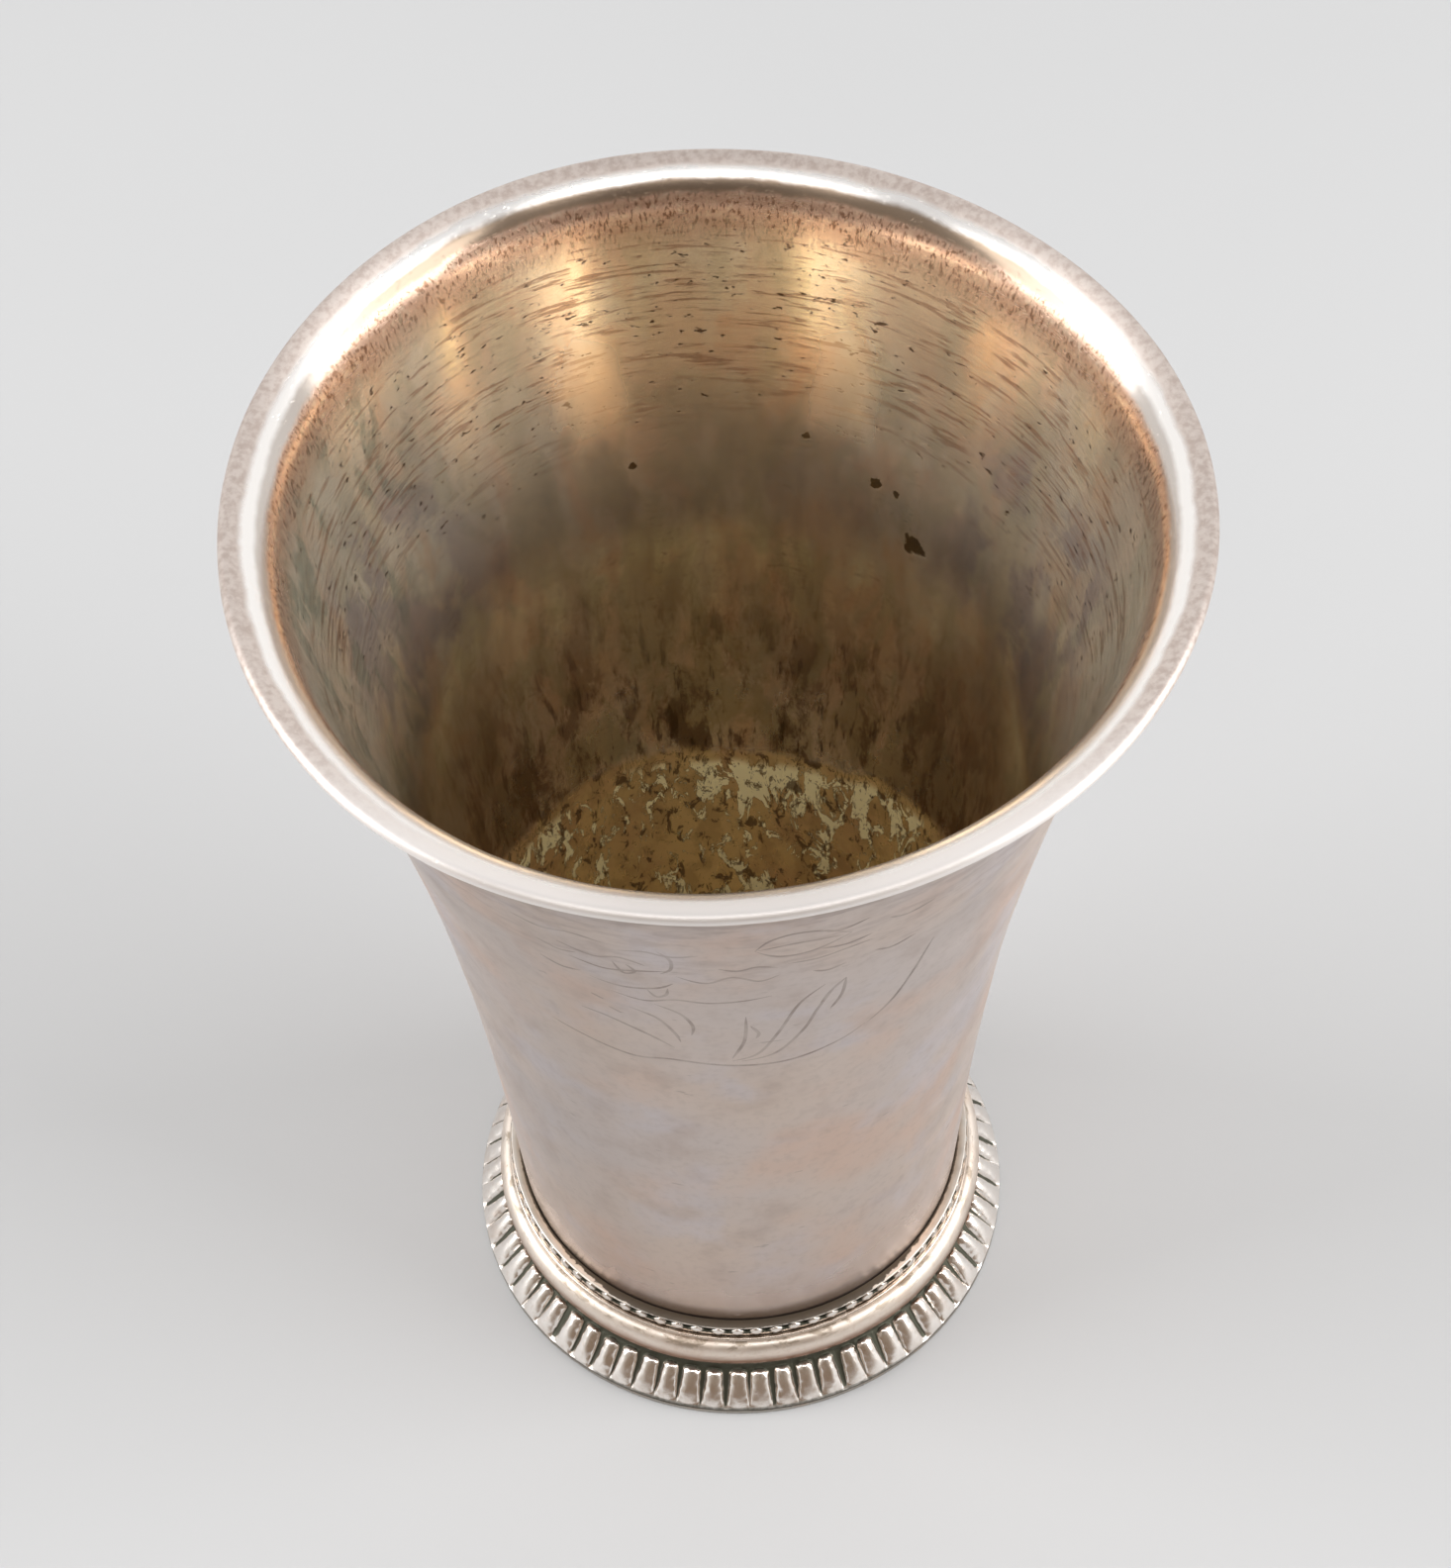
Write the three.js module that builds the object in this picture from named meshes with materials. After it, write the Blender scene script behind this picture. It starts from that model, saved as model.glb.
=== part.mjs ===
// Silver beaker: a raised cup with a turned-out lip, standing on a foot built up of soldered rings.
// Millimetres, +Z up. The origin is the centre of the foot, on the surface that it stands on.
import * as THREE from 'three';

// Overall sizes
const overallHeight = 120;
const mouthRadius = 44;
const solderGap = 0.1;

// Cup wall and bottom
const wallThickness = 0.7;
const bottomThickness = 0.8;
const wallFootRadius = 23.7;
const bottomBendRadius = 2.2;
const wallFootLean = THREE.MathUtils.degToRad(3.7);
const wallTopLean = THREE.MathUtils.degToRad(18.6);
const footHandleShare = 0.316;
const topHandleShare = 0.352;

// Lip
const lipLean = THREE.MathUtils.degToRad(78);
const lipBendRadius = 4.2;
const lipThickness = 1.3;

// Base wire, the plain rim that stands on the table
const baseWireWidth = 1.65;
const baseWireHeight = 1.1;
const baseWireBend = 0.35;
const baseWireProud = 0.25;

// Fluted flange, outwards from its land under the cup and down to its edge on the base wire
const landOverlap = 1;
const neckOffset = 1.9;
const neckHeight = 0.8;
const neckFlare = 0.75;
const fluteSpread = 2.6;
const fluteFall = 3.5;
const fluteDepth = 0.6;
const fluteCount = 68;
const flangeSheet = 0.6;
const flangeEdgeThickness = 0.3;
const flangeSeatWidth = 1.05;
// Along a flute, from its inner end to the rim: where each row of points lies and how full it is
const fluteRowShares = [0.03, 0.13, 0.5, 0.96];
const fluteRiseShares = [0.55, 1, 1, 1];
// Width of the groove between two flutes, as a share of their pitch, at its wide inner end
const grooveWidthShare = 0.34;
// Across one flute, from groove to groove: place on the half width, and height
const acrossShares = [-1, -0.72, 0, 0.72, 1];
const acrossRiseShares = [0.2, 0.86, 1, 0.86, 0.2];

// Torus moulding
const torusHeight = 4;
const torusShoulderWidth = 1.43;
const torusBulge = 1.3;

// Bead wire above the torus
const beadHeight = 0.5;
const beadWidth = 1.5;

// Toothed strip, and the collar ring, a drawn channel that the strip lies in
const toothCount = 74;
const stripThickness = 0.32;
const stripRootHeight = 0.75;
const toothHeight = 0.75;
const collarWebThickness = 0.5;
const collarLipHeight = 0.3;
const collarOverhang = 0.08;

// Smoothness
const ringSegmentCount = 64;
const wallStepCount = 10;
const bendStepCount = 3;
const lipStepCount = 3;
const edgeStepCount = 2;
const beadStepCount = 4;
const torusStepCount = 6;
const columnsPerTooth = 2;

// Heights that follow from the sizes, from the table up
const flangeSeat = baseWireHeight + solderGap;
const fluteInnerHeight = flangeSeat + fluteFall;
const landHeight = fluteInnerHeight + neckHeight;
const cupBottom = landHeight + solderGap;
const torusBottom = landHeight + solderGap;
const beadBottom = torusBottom + torusHeight + solderGap;
const collarBottom = beadBottom + beadHeight + solderGap;
const channelTop = collarBottom + stripRootHeight + toothHeight + solderGap;
const collarTop = channelTop + collarLipHeight;

// Radii that follow from the sizes, from the cup outwards
const landInnerRadius = wallFootRadius - bottomBendRadius - landOverlap;
const neckRadius = wallFootRadius + neckOffset;
const fluteInnerRadius = neckRadius + neckFlare;
const flangeRadius = fluteInnerRadius + fluteSpread;
const baseWireRadius = flangeRadius + baseWireProud;

// Points of an arc in the r-z plane, both ends included, with angles measured from the +r direction
function arc(centre, radius, from, to, steps, radiusZ = radius) {
  const clockwise = to < from;
  return new THREE.EllipseCurve(centre.x, centre.y, radius, radiusZ, from, to, clockwise).getPoints(steps);
}

// Unit vector to the inner or upper side of a sheet that leans outwards by the given angle
function inward(lean) {
  return new THREE.Vector2(-Math.cos(lean), Math.sin(lean));
}

// A closed r-z profile turned about the Z axis
function turned(profile) {
  const closed = profile[0].x === 0 ? profile : [...profile, profile[0]];
  return new THREE.LatheGeometry(closed, ringSegmentCount).rotateX(Math.PI / 2);
}

// Outer line of the wall between the bottom bend and the lip bend
function wallCurve() {
  const edge = new THREE.Vector2(mouthRadius - lipThickness / 2, overallHeight - lipThickness / 2);
  const lipEnd = edge.clone().addScaledVector(inward(lipLean), -lipThickness / 2);
  const top = new THREE.Vector2(
    lipEnd.x - lipBendRadius * (Math.cos(wallTopLean) - Math.cos(lipLean)),
    lipEnd.y - lipBendRadius * (Math.sin(lipLean) - Math.sin(wallTopLean)),
  );
  const foot = new THREE.Vector2(wallFootRadius, cupBottom + bottomBendRadius);
  const rise = top.y - foot.y;
  const footHandle = new THREE.Vector2(Math.sin(wallFootLean), Math.cos(wallFootLean));
  const topHandle = new THREE.Vector2(-Math.sin(wallTopLean), -Math.cos(wallTopLean));
  return new THREE.CubicBezierCurve(
    foot,
    footHandle.multiplyScalar(rise * footHandleShare).add(foot),
    topHandle.multiplyScalar(rise * topHandleShare).add(top),
    top,
  );
}

const wall = wallCurve();
const wallPoints = wall.getPoints(wallStepCount);

// Outer radius of the faceted wall at a height, for the rings that are soldered round it
function wallRadiusAt(height) {
  const above = wallPoints.findIndex((point) => point.y > height);
  if (above < 1) return wallFootRadius;
  const [lower, upper] = [wallPoints[above - 1], wallPoints[above]];
  return THREE.MathUtils.mapLinear(height, lower.y, upper.y, lower.x, upper.x);
}

// Radius of the back of a ring that fits round the wall up to the given height
function backRadiusAt(height) {
  return wallRadiusAt(height) + solderGap;
}

// The cup: bottom, wall and lip raised from one sheet, thicker at the lip than in the wall
function cupGeometry() {
  const bendCentre = new THREE.Vector2(wallFootRadius - bottomBendRadius, cupBottom + bottomBendRadius);
  const innerBendR = bottomBendRadius - wallThickness;
  const innerBendZ = bottomBendRadius - bottomThickness;
  const outerBend = arc(bendCentre, bottomBendRadius, -Math.PI / 2, 0, bendStepCount);
  const innerBend = arc(bendCentre, innerBendR, 0, -Math.PI / 2, bendStepCount, innerBendZ);

  const lipCentre = wallPoints[wallStepCount].clone().addScaledVector(inward(wallTopLean), -lipBendRadius);
  const leans = Array.from({ length: lipStepCount + 1 }, (_, i) => (
    THREE.MathUtils.lerp(wallTopLean, lipLean, i / lipStepCount)
  ));
  const under = leans.map((lean) => lipCentre.clone().addScaledVector(inward(lean), lipBendRadius));
  const upper = leans.map((lean, i) => under[i].clone().addScaledVector(inward(lean), lipThickness));
  const edgeCentre = under[lipStepCount].clone().lerp(upper[lipStepCount], 1 / 2);
  const edge = [
    ...arc(edgeCentre, lipThickness / 2, -lipLean, 0, edgeStepCount).slice(1),
    ...arc(edgeCentre, lipThickness / 2, 0, Math.PI / 2, edgeStepCount).slice(1),
  ];

  const inner = wallPoints.map((point, i) => {
    const tangent = wall.getTangent(i / wallStepCount);
    return new THREE.Vector2(point.x - wallThickness * tangent.y, point.y + wallThickness * tangent.x);
  });
  return turned([
    new THREE.Vector2(0, cupBottom),
    ...outerBend,
    ...wallPoints.slice(1),
    ...under.slice(1),
    ...edge,
    ...upper.toReversed(),
    ...inner.slice(1, -1).toReversed(),
    ...innerBend,
    new THREE.Vector2(0, cupBottom + bottomThickness),
  ]);
}

// Radii of the collar's back and web and of the strip that lies in it
const collarBackRadius = backRadiusAt(collarTop);
const webRadius = collarBackRadius + collarWebThickness;
const stripInnerRadius = webRadius + solderGap;
const stripOuterRadius = stripInnerRadius + stripThickness;

// Plain channel with a ledge on top, its back against the wall
function collarGeometry() {
  return turned([
    new THREE.Vector2(collarBackRadius, collarBottom),
    new THREE.Vector2(webRadius, collarBottom),
    new THREE.Vector2(webRadius, channelTop),
    new THREE.Vector2(stripOuterRadius + collarOverhang, channelTop),
    new THREE.Vector2(stripOuterRadius + collarOverhang, collarTop),
    new THREE.Vector2(collarBackRadius, collarTop),
  ]);
}

// Drawn wire of half-round section between the torus and the collar
function beadGeometry() {
  const back = backRadiusAt(beadBottom + beadHeight);
  const centre = new THREE.Vector2(back + beadWidth - beadHeight / 2, beadBottom + beadHeight / 2);
  return turned([
    new THREE.Vector2(back, beadBottom),
    ...arc(centre, beadHeight / 2, -Math.PI / 2, Math.PI / 2, beadStepCount),
    new THREE.Vector2(back, beadBottom + beadHeight),
  ]);
}

// Drawn moulding with an elliptical face and a flat back against the wall
function torusGeometry() {
  const top = torusBottom + torusHeight;
  const back = backRadiusAt(top);
  const centre = new THREE.Vector2(back + torusShoulderWidth, torusBottom + torusHeight / 2);
  return turned([
    new THREE.Vector2(back, torusBottom),
    ...arc(centre, torusBulge, -Math.PI / 2, Math.PI / 2, torusStepCount, torusHeight / 2),
    new THREE.Vector2(back, top),
  ]);
}

// Drawn wire with rounded outer corners that the whole beaker stands on
function baseWireGeometry() {
  const lower = new THREE.Vector2(baseWireRadius - baseWireBend, baseWireBend);
  const upper = new THREE.Vector2(baseWireRadius - baseWireBend, baseWireHeight - baseWireBend);
  return turned([
    new THREE.Vector2(baseWireRadius - baseWireWidth, 0),
    ...arc(lower, baseWireBend, -Math.PI / 2, 0, edgeStepCount),
    ...arc(upper, baseWireBend, 0, Math.PI / 2, edgeStepCount),
    new THREE.Vector2(baseWireRadius - baseWireWidth, baseWireHeight),
  ]);
}

// A ring of points about the Z axis, each given by radius and height, at equal or given shares of a turn
function ring(count, pointAt, shareAt = (i) => i / count) {
  return Array.from({ length: count }, (_, i) => {
    const angle = 2 * Math.PI * shareAt(i);
    const point = pointAt(i);
    return new THREE.Vector3(point.x * Math.cos(angle), point.x * Math.sin(angle), point.y);
  });
}

// A smooth ring at one radius and height
function plainRing(count, radius, height) {
  return ring(count, () => new THREE.Vector2(radius, height));
}

// Triangles between two rings whose points may differ in number
function stitch(triangles, ringA, startA, ringB, startB) {
  let a = 0;
  let b = 0;
  while (a < ringA.length || b < ringB.length) {
    const nowA = startA + a % ringA.length;
    const nowB = startB + b % ringB.length;
    if (b === ringB.length || (a + 1) / ringA.length <= (b + 1) / ringB.length) {
      a += 1;
      triangles.push(nowA, startA + a % ringA.length, nowB);
    } else {
      b += 1;
      triangles.push(nowA, startB + b % ringB.length, nowB);
    }
  }
}

// A closed solid through rings, each joined to the next and the last to the first
function solidThroughRings(rings) {
  const starts = rings.map((_, i) => rings.slice(0, i).reduce((sum, points) => sum + points.length, 0));
  const triangles = [];
  rings.forEach((points, i) => {
    const next = (i + 1) % rings.length;
    stitch(triangles, points, starts[i], rings[next], starts[next]);
  });
  const geometry = new THREE.BufferGeometry().setFromPoints(rings.flat()).setIndex(triangles);
  geometry.computeVertexNormals();
  return geometry;
}

// Crest line of the tongues in the r-z plane, and the direction from it into the metal
const crestInner = new THREE.Vector2(fluteInnerRadius, fluteInnerHeight);
const crestOuter = new THREE.Vector2(flangeRadius, flangeSeat + flangeEdgeThickness);
const crestSlope = crestOuter.clone().sub(crestInner).normalize();
const intoMetal = new THREE.Vector2(crestSlope.y, -crestSlope.x);

// One row of points over all the flutes: a groove point, then the points across one tongue, and so on
function fluteRow(share, riseShare) {
  const crest = crestInner.clone().lerp(crestOuter, share);
  const left = 1 - share / fluteRowShares.at(-1);
  const depth = fluteDepth * left;
  const halfWidthShare = (1 - grooveWidthShare * left) / 2;
  const columns = acrossShares.length + 1;
  const pointAt = (i) => {
    const column = i % columns;
    const rise = column === 0 ? 0 : acrossRiseShares[column - 1] * riseShare;
    return crest.clone().addScaledVector(intoMetal, depth * (1 - rise));
  };
  const shareAt = (i) => {
    const column = i % columns;
    const across = column === 0 ? 0 : 1 / 2 + acrossShares[column - 1] * halfWidthShare;
    return (Math.floor(i / columns) + across) / fluteCount;
  };
  return ring(fluteCount * columns, pointAt, shareAt);
}

// The flange: a flat land under the cup, a short neck, and a sloping skirt of tongues and grooves
function flangeGeometry() {
  const plain = (radius, height) => plainRing(fluteCount, radius, height);
  const groove = crestInner.clone().addScaledVector(intoMetal, fluteDepth);
  const back = groove.clone().addScaledVector(intoMetal, flangeSheet);
  return solidThroughRings([
    plain(landInnerRadius, landHeight),
    plain(landInnerRadius, landHeight - flangeSheet),
    plain(neckRadius - flangeSheet, landHeight - flangeSheet),
    plain(back.x, back.y),
    plain(flangeRadius - flangeSeatWidth, flangeSeat),
    plain(flangeRadius, flangeSeat),
    plain(flangeRadius, flangeSeat + flangeEdgeThickness),
    ...fluteRowShares.map((share, i) => fluteRow(share, fluteRiseShares[i])).toReversed(),
    plain(groove.x, groove.y),
    plain(neckRadius, landHeight),
  ]);
}

// A thin strip whose upper edge is cut into pointed teeth, lying in the collar's channel
function stripGeometry() {
  const count = toothCount * columnsPerTooth;
  const toothTop = (i) => {
    const wave = (1 + Math.cos(2 * Math.PI * i / columnsPerTooth)) / 2;
    return collarBottom + stripRootHeight + toothHeight * wave;
  };
  return solidThroughRings([
    plainRing(count, stripInnerRadius, collarBottom),
    plainRing(count, stripOuterRadius, collarBottom),
    ring(count, (i) => new THREE.Vector2(stripOuterRadius, toothTop(i))),
    ring(count, (i) => new THREE.Vector2(stripInnerRadius, toothTop(i))),
  ]);
}

const silver = () => new THREE.MeshStandardMaterial({ color: 0xb9aea6, roughness: 0.35, metalness: 1 });
const brightSilver = () => new THREE.MeshStandardMaterial({ color: 0xd6d0c8, roughness: 0.25, metalness: 1 });
const darkSilver = () => new THREE.MeshStandardMaterial({ color: 0x8f857b, roughness: 0.4, metalness: 1 });

const beaker = new THREE.Group();

function addPiece(name, geometry, material) {
  const mesh = new THREE.Mesh(geometry, material);
  mesh.name = name;
  beaker.add(mesh);
}

addPiece('beaker_body', cupGeometry(), silver());
addPiece('collar_ring', collarGeometry(), darkSilver());
addPiece('toothed_strip', stripGeometry(), brightSilver());
addPiece('bead_wire', beadGeometry(), silver());
addPiece('torus_moulding', torusGeometry(), silver());
addPiece('fluted_flange', flangeGeometry(), brightSilver());
addPiece('base_wire', baseWireGeometry(), silver());

export default beaker;
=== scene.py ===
import math

import bpy
import numpy as np
from mathutils import Matrix, Vector


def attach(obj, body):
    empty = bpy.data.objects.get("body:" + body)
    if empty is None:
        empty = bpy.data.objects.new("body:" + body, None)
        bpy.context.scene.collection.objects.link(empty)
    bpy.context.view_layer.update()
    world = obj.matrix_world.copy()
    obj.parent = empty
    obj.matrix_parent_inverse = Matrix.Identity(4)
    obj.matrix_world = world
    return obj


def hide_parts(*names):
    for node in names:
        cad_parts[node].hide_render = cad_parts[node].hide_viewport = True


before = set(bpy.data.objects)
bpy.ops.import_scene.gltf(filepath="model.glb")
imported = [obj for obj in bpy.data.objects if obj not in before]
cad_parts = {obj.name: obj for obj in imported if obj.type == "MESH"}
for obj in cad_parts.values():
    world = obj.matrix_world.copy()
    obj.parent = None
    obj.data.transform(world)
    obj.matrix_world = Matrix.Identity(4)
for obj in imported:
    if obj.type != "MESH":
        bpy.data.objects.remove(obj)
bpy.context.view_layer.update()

# Silver beaker. Every CAD solid is replaced by a finer mesh with wear, tarnish and tool marks.
# Sizes are in metres, +Z up, and each ring's place comes from its CAD node. The front faces -Y.

MM = 0.001
TURN = 2 * math.pi
rng = np.random.default_rng(11)


# Sizes of the CAD nodes

def reach(node):
    """Inner and outer radius, lowest and highest point of a CAD node that is turned about Z."""
    points = np.array([v.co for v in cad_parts[node].data.vertices])
    radii = np.hypot(points[:, 0], points[:, 1])
    return radii.min(), radii.max(), points[:, 2].min(), points[:, 2].max()


_, MOUTH_RADIUS, CUP_BOTTOM, CUP_TOP = reach("beaker_body")
COLLAR_BACK, COLLAR_EDGE, COLLAR_LOW, COLLAR_TOP = reach("collar_ring")
STRIP_BACK, STRIP_FACE, STRIP_LOW, STRIP_TOP = reach("toothed_strip")
BEAD_BACK, BEAD_FACE, BEAD_LOW, BEAD_TOP = reach("bead_wire")
TORUS_BACK, TORUS_FACE, TORUS_LOW, TORUS_TOP = reach("torus_moulding")
LAND_RADIUS, FLANGE_RADIUS, FLANGE_LOW, LAND_TOP = reach("fluted_flange")
WIRE_BACK, WIRE_FACE, WIRE_LOW, WIRE_TOP = reach("base_wire")

# Sizes of the cup's wall, bottom and lip, as in the part's source
WALL_THICKNESS = 0.7 * MM
BOTTOM_THICKNESS = 0.8 * MM
WALL_FOOT_RADIUS = 23.7 * MM
BOTTOM_BEND = 2.2 * MM
WALL_FOOT_LEAN = math.radians(3.7)
WALL_TOP_LEAN = math.radians(18.6)
FOOT_HANDLE_SHARE = 0.316
TOP_HANDLE_SHARE = 0.352
LIP_LEAN = math.radians(78)
LIP_BEND = 4.2 * MM
LIP_EDGE_THICKNESS = 1.3 * MM

# Fluted flange: the source's sizes, then the finer forms of its tongues and rim
NECK_OFFSET = 1.9 * MM
NECK_FLARE = 0.75 * MM
NECK_HEIGHT = 0.8 * MM
FLUTE_DEPTH = 0.6 * MM
FLUTE_COUNT = 68
FLANGE_SHEET = 0.6 * MM
FLANGE_EDGE = 0.3 * MM
FLANGE_SEAT_WIDTH = 1.05 * MM
FLUTE_END_SHARE = 0.985
GROOVE_WIDTH_SHARE = 0.28
PILLOW = 0.42 * MM
BOW = 0.2 * MM
RIM_PROUD = 0.2 * MM
RIM_DROP = 0.42 * MM

# Toothed strip and its channel
TOOTH_COUNT = 74
TOOTH_HEIGHT = 0.75 * MM
COLLAR_WEB = 0.5 * MM
COLLAR_LIP = 0.3 * MM


# Shapes in the r-z plane

def arc(centre, radius, start, end, steps, radius_z=None):
    """Points of an arc, both ends included, with angles from the +r direction."""
    angles = np.linspace(start, end, steps + 1)
    tall = radius if radius_z is None else radius_z
    return np.stack([centre[0] + radius * np.cos(angles), centre[1] + tall * np.sin(angles)], 1)


def inward(lean):
    """Unit vector to the inner or upper side of a sheet that leans outwards."""
    return np.array([-math.cos(lean), math.sin(lean)])


def rounded(corners, radii, steps=4):
    """A closed outline whose corners are rounded by the given radii."""
    corners = np.array(corners, float)
    points = []
    for i, corner in enumerate(corners):
        before = corners[i - 1] - corner
        after = corners[(i + 1) % len(corners)] - corner
        cut = min(radii[i], 0.45 * np.linalg.norm(before), 0.45 * np.linalg.norm(after))
        start = corner + before / np.linalg.norm(before) * cut
        end = corner + after / np.linalg.norm(after) * cut
        for t in np.linspace(0, 1, steps + 1):
            points.append((1 - t) ** 2 * start + 2 * t * (1 - t) * corner + t * t * end)
    return np.array(points)


def filled(points, spacing):
    """The same line with extra points, so that no step is longer than the spacing."""
    out = [points[0]]
    for a, b in zip(points[:-1], points[1:]):
        steps = max(1, math.ceil(np.linalg.norm(b - a) / spacing))
        out.extend(a + (b - a) * (k / steps) for k in range(1, steps + 1))
    return np.array(out)


def waves(points, size, seed, count=28):
    """Smooth random heights of about unit size over points in space, with bumps of the given size."""
    draw = np.random.default_rng(seed)
    turn = draw.normal(size=(count, 3))
    turn /= np.linalg.norm(turn, axis=1)[:, None]
    turn *= draw.uniform(0.5, 1.3, count)[:, None] * TURN / (2 * size)
    phase = draw.uniform(0, TURN, count)
    return np.cos(points @ turn.T + phase).sum(-1) * math.sqrt(2 / count)


# Mesh from a grid of points

def grid_piece(name, points, closed=True, values=None):
    """A mesh from rows of points round the axis. Rows join last to first when closed; otherwise the
    first and last rows lie on the axis and become one point each. values holds named numbers for
    each point, which the materials read."""
    rows, columns, _ = points.shape
    coordinates = points.reshape(-1, 3)
    kept = np.arange(rows * columns)
    if not closed:
        kept[:columns] = 0
        kept[-columns:] = (rows - 1) * columns
    faces = []
    around = np.arange(columns)
    for i in range(rows if closed else rows - 1):
        low = kept[i * columns + around]
        high = kept[((i + 1) % rows) * columns + around]
        quads = np.stack([low, np.roll(low, -1), np.roll(high, -1), high], 1)
        if not closed and i == 0:
            quads = quads[:, [0, 2, 3]]
        elif not closed and i == rows - 2:
            quads = quads[:, [0, 1, 2]]
        faces.extend(quads.tolist())
    used = np.unique([k for face in faces for k in face]) if not closed else kept
    place = np.zeros(rows * columns, int)
    place[used] = np.arange(len(used))
    mesh = bpy.data.meshes.new(name)
    mesh.from_pydata(coordinates[used].tolist(), [], [[int(place[k]) for k in face] for face in faces])
    for key, value in (values or {}).items():
        layer = mesh.attributes.new(key, "FLOAT", "POINT")
        layer.data.foreach_set("value", np.asarray(value, float).reshape(-1)[used].astype(np.float32))
    mesh.polygons.foreach_set("use_smooth", [True] * len(mesh.polygons))
    mesh.validate()
    mesh.update()
    piece = bpy.data.objects.new(name, mesh)
    bpy.context.scene.collection.objects.link(piece)
    return piece


def turned(profile, columns):
    """Rows of points round the axis from an r-z profile, and the angle of each column."""
    angle = np.arange(columns) * TURN / columns
    points = np.empty((len(profile), columns, 3))
    points[:, :, 0] = profile[:, 0, None] * np.cos(angle)
    points[:, :, 1] = profile[:, 0, None] * np.sin(angle)
    points[:, :, 2] = profile[:, 1, None]
    return points, angle


def push(points, amount):
    """Moves points outwards from the axis by the given amounts."""
    radius = np.maximum(np.hypot(points[..., 0], points[..., 1]), 1e-9)
    points[..., 0] += points[..., 0] / radius * amount
    points[..., 1] += points[..., 1] / radius * amount


# Cup

def wall_line(steps):
    """Outer line of the wall from the bottom bend to the lip bend, and its directions."""
    half_edge = LIP_EDGE_THICKNESS / 2
    lip_end = np.array([MOUTH_RADIUS, CUP_TOP]) - half_edge - inward(LIP_LEAN) * half_edge
    top = lip_end - LIP_BEND * (inward(LIP_LEAN) - inward(WALL_TOP_LEAN))
    foot = np.array([WALL_FOOT_RADIUS, CUP_BOTTOM + BOTTOM_BEND])
    rise = top[1] - foot[1]
    low = foot + rise * FOOT_HANDLE_SHARE * np.array([math.sin(WALL_FOOT_LEAN), math.cos(WALL_FOOT_LEAN)])
    high = top - rise * TOP_HANDLE_SHARE * np.array([math.sin(WALL_TOP_LEAN), math.cos(WALL_TOP_LEAN)])
    t = np.linspace(0, 1, steps + 1)[:, None]
    line = (1 - t) ** 3 * foot + 3 * (1 - t) ** 2 * t * low + 3 * (1 - t) * t * t * high + t ** 3 * top
    heading = 3 * (1 - t) ** 2 * (low - foot) + 6 * (1 - t) * t * (high - low) + 3 * t * t * (top - high)
    return line, heading / np.linalg.norm(heading, axis=1)[:, None]


CUP_COLUMNS = 320
WALL_STEPS = 84
BEND_STEPS = 8
LIP_STEPS = 14
EDGE_STEPS = 14
LIP_TAPER_SHARE = 0.14

wall, wall_heading = wall_line(WALL_STEPS)
near_lip = np.clip((np.linspace(0, 1, WALL_STEPS + 1) - 1 + LIP_TAPER_SHARE) / LIP_TAPER_SHARE, 0, 1)
wall_gauge = WALL_THICKNESS + (LIP_EDGE_THICKNESS - WALL_THICKNESS) * near_lip ** 2
inner_wall = wall + wall_gauge[:, None] * np.stack([-wall_heading[:, 1], wall_heading[:, 0]], 1)
bend_centre = (WALL_FOOT_RADIUS - BOTTOM_BEND, CUP_BOTTOM + BOTTOM_BEND)
inner_bend = (BOTTOM_BEND - WALL_THICKNESS, BOTTOM_BEND - BOTTOM_THICKNESS)
floor_height = CUP_BOTTOM + BOTTOM_THICKNESS
lip_centre = wall[-1] - inward(WALL_TOP_LEAN) * LIP_BEND
leans = np.linspace(WALL_TOP_LEAN, LIP_LEAN, LIP_STEPS + 1)
under = np.array([lip_centre + inward(a) * LIP_BEND for a in leans])
upper = np.array([u + inward(a) * LIP_EDGE_THICKNESS for u, a in zip(under, leans)])
edge = arc((under[-1] + upper[-1]) / 2, LIP_EDGE_THICKNESS / 2, -LIP_LEAN, math.pi - LIP_LEAN, EDGE_STEPS)

outside_line = np.concatenate([
    filled(np.array([[0, CUP_BOTTOM], [bend_centre[0], CUP_BOTTOM]]), 2.4 * MM),
    arc(bend_centre, BOTTOM_BEND, -math.pi / 2, 0, BEND_STEPS)[1:],
    wall[1:], under[1:], edge[1:-1],
])
inside_line = np.concatenate([
    upper[::-1],
    inner_wall[1:-1][::-1],
    arc(bend_centre, inner_bend[0], 0, -math.pi / 2, BEND_STEPS, inner_bend[1]),
    filled(np.array([[bend_centre[0], floor_height], [0, floor_height]]), 1.2 * MM)[1:],
])
cup_profile = np.concatenate([outside_line, inside_line])

OVAL = 0.2 * MM
THREE_SIDED = 0.32 * MM
DENT_HEIGHT = 0.045 * MM
HAMMER_HEIGHT = 0.009 * MM


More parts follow.
